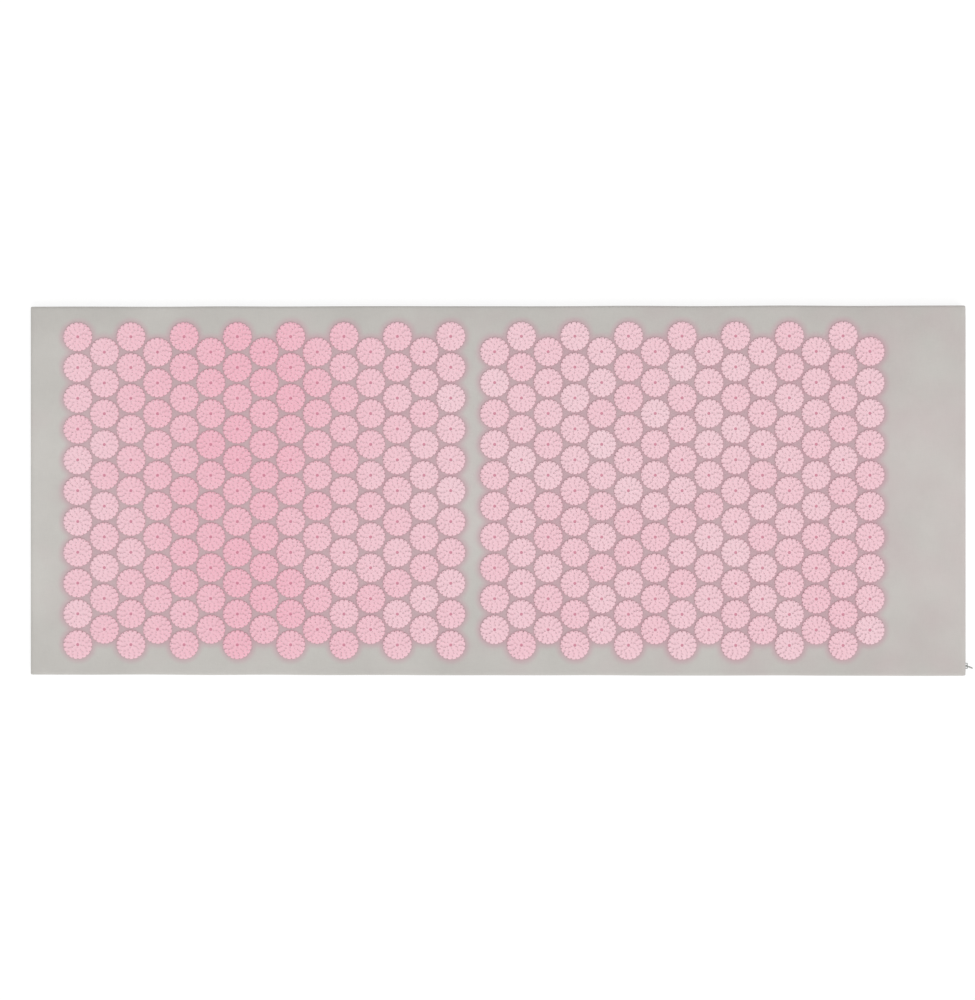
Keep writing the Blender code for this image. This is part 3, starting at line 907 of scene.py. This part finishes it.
for level, sign in (("upper", 1), ("lower", -1)):
    low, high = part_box(f"zip_teeth_{level}")
    root_z = high.z if sign > 0 else low.z
    start_z = seam_height + sign * tooth_to_middle
    tooth = in_scene("tooth", coil_tooth(high.x - low.x, abs(root_z - start_z), sign))
    # the two rows are half a pitch apart, so that their teeth lock
    first_y = low.y + tooth_pitch * (0.75 + 0.25 * sign)
    first = ((low.x + high.x) / 2, first_y, start_z)
    count = int((high.y - low.y - tooth_pitch * 1.5) / tooth_pitch)
    base = in_scene("coil_base", bpy.data.meshes.new("empty"))
    row = grow(
        f"zip_coil_{level}", coil.tree, base, {"Tooth": tooth, "Start": first, "Count": count}
    )
    bpy.data.objects.remove(tooth)
    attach(row, "right_half")
    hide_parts(f"zip_teeth_{level}")

for level, sign in (("upper", 1), ("lower", -1)):
    height = seam_height + sign * (opening_half_height + sewing_margin)
    ends = [(cover_high.x + sewing_outside, y, height) for y in (opening_front, opening_back)]
    row = stitch_row(f"zip_stitches_{level}", laid_on(covers[level, "right"], ends))
    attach(row, "right_half")

# Slider and pull: die-cast and lacquered grey. The slider rides on the teeth, and the pull hangs
# loosely in its arch, rolled a little to one side, and sticks out past the mat's end.
pull_joint = next(joint for joint in frame["joints"] if joint["name"] == "pull_swing")
pull_pivot = Vector(pull_joint["pos_m"])
pull_low, pull_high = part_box("zip_pull_tab")
pull_middle = (pull_low + pull_high) / 2
pull_way = (pull_middle - pull_pivot).normalized()
pull_way.z = 0
pull_roll = math.radians(12)
# the eye is wider than the CAD's, so that the rolled pull clears the arch over its whole swing
cad_eye, wider_eye, eye_match = 0.0014, 0.0019, 0.0001
# the web between the slider's two plates is thinned, so that it passes between the teeth
web_half_width, cad_web_limit, web_behind_pivot = 0.00014, 0.00035, 0.0012
softening, merge_distance = 0.00018, 0.000002


def metal_piece(name, node, body, shape):
    """A piece of the slider, with its edges softened as casting and lacquer leave them."""
    mesh = bpy.data.meshes.new(name)
    shape.to_mesh(mesh)
    shape.free()
    mesh.materials.append(metal.material)
    piece = in_scene(name, mesh)
    softened = piece.modifiers.new("softened_edges", "BEVEL")
    softened.width = softening
    softened.segments = 2
    softened.limit_method = "ANGLE"
    softened.angle_limit = math.radians(30)
    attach(piece, body)
    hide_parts(node)


def merged_copy(node):
    """A CAD node's shape with its doubles merged and its flat faces joined."""
    shape = bmesh.new()
    shape.from_mesh(frame["nodes"][node].data)
    bmesh.ops.remove_doubles(shape, verts=shape.verts, dist=merge_distance)
    bmesh.ops.dissolve_limit(
        shape, angle_limit=math.radians(2), verts=shape.verts, edges=shape.edges
    )
    return shape


slider = merged_copy("zip_slider")
for vertex in slider.verts:
    from_middle = vertex.co.z - seam_height
    if abs(from_middle) < cad_web_limit and vertex.co.x < pull_pivot.x - web_behind_pivot:
        vertex.co.z = seam_height + math.copysign(web_half_width, from_middle)
metal_piece("slider_body", "zip_slider", "zip_slider", slider)

pull = merged_copy("zip_pull_tab")
roll = Matrix.Rotation(pull_roll, 3, pull_way)
for vertex in pull.verts:
    from_pivot = vertex.co - pull_pivot
    if abs(abs(from_pivot.z) - cad_eye) < eye_match:
        from_pivot.z = math.copysign(wider_eye, from_pivot.z)
    vertex.co = pull_pivot + roll @ from_pivot
metal_piece("pull_tab_plate", "zip_pull_tab", "pull_tab", pull)

# Studio: a white sweep under the mat, soft light from all round and a broad key light that comes
# from the front and right, as in the photograph.
floor_reach, floor_drop = 6.0, 0.0002
floor_colour, floor_matt, floor_glow = (0.9, 0.9, 0.9, 1), (0.25, 0.25, 0.25, 1), 0.8
ambient = 0.74
key_energy, key_angle = 1.0, math.radians(32)
key_direction = Vector((-0.32, 0.62, -1.0))


def shows_background(tree):
    """1 for a ray that looks at the background, straight or off a gloss, and 0 for the rest."""
    rays = tree.node("LightPath")
    straight = Value(tree, rays.outputs["Is Camera Ray"])
    return straight.larger(Value(tree, rays.outputs["Is Glossy Ray"]))


floor_corners = [(-1, -1), (1, -1), (1, 1), (-1, 1)]
floor_mesh = bpy.data.meshes.new("floor")
floor_mesh.from_pydata(
    [(x * floor_reach, y * floor_reach, 0) for x, y in floor_corners], [], [(0, 1, 2, 3)]
)
floor = in_scene("floor", floor_mesh)
floor.location.z = -floor_drop
white = Finish("white_floor", roughness=1.0)
white.colour(floor_colour)
matt = white.node("BsdfDiffuse", None, {"Color": floor_matt})
glow = white.node("Emission", None, {"Strength": floor_glow})
bright = white.node("AddShader", None, {0: matt, 1: glow})
chosen = white.node("MixShader", None, {0: shows_background(white), 1: white.shader, 2: bright})
white.feed(white.tree.nodes["Material Output"].inputs["Surface"], chosen)
floor_mesh.materials.append(white.material)

scene = bpy.context.scene
scene.view_settings.view_transform = "Standard"
world = bpy.data.worlds.new("studio")
scene.world = world
world.use_nodes = True
sky = Tree(world.node_tree, "ShaderNode")
background = world.node_tree.nodes["Background"]
background.inputs["Color"].default_value = (1, 1, 1, 1)
sky.feed(background.inputs["Strength"], shows_background(sky) * (1 - ambient) + ambient)

key = in_scene("key_light", bpy.data.lights.new("key_light", "SUN"))
key.data.energy = key_energy
key.data.angle = key_angle
key.rotation_euler = key_direction.to_track_quat("-Z", "Y").to_euler()

# Camera: a long lens straight above the mat's middle, leaning a little to the right, so that the
# right end comes out slightly larger, as it does in the photograph.
metres_per_pixel = 1.3672e-3
image_width, image_height = 975, 1000
aim_pixel = (496.45, 490.65)
lean = math.radians(1.0)
camera = in_scene("camera", bpy.data.cameras.new("camera"))
scene.camera = camera
camera.data.lens = 85
camera.data.sensor_width = 36
camera.data.clip_end = 50
view_height = image_height * metres_per_pixel
distance = view_height * camera.data.lens / camera.data.sensor_width
target = Vector((0, 0, cover_high.z))
camera.location = target + Vector((math.sin(lean), 0, math.cos(lean))) * distance
camera.rotation_euler = (0, lean, 0)
camera.data.shift_x = (image_width / 2 - aim_pixel[0]) / image_height
camera.data.shift_y = (aim_pixel[1] - image_height / 2) / image_height
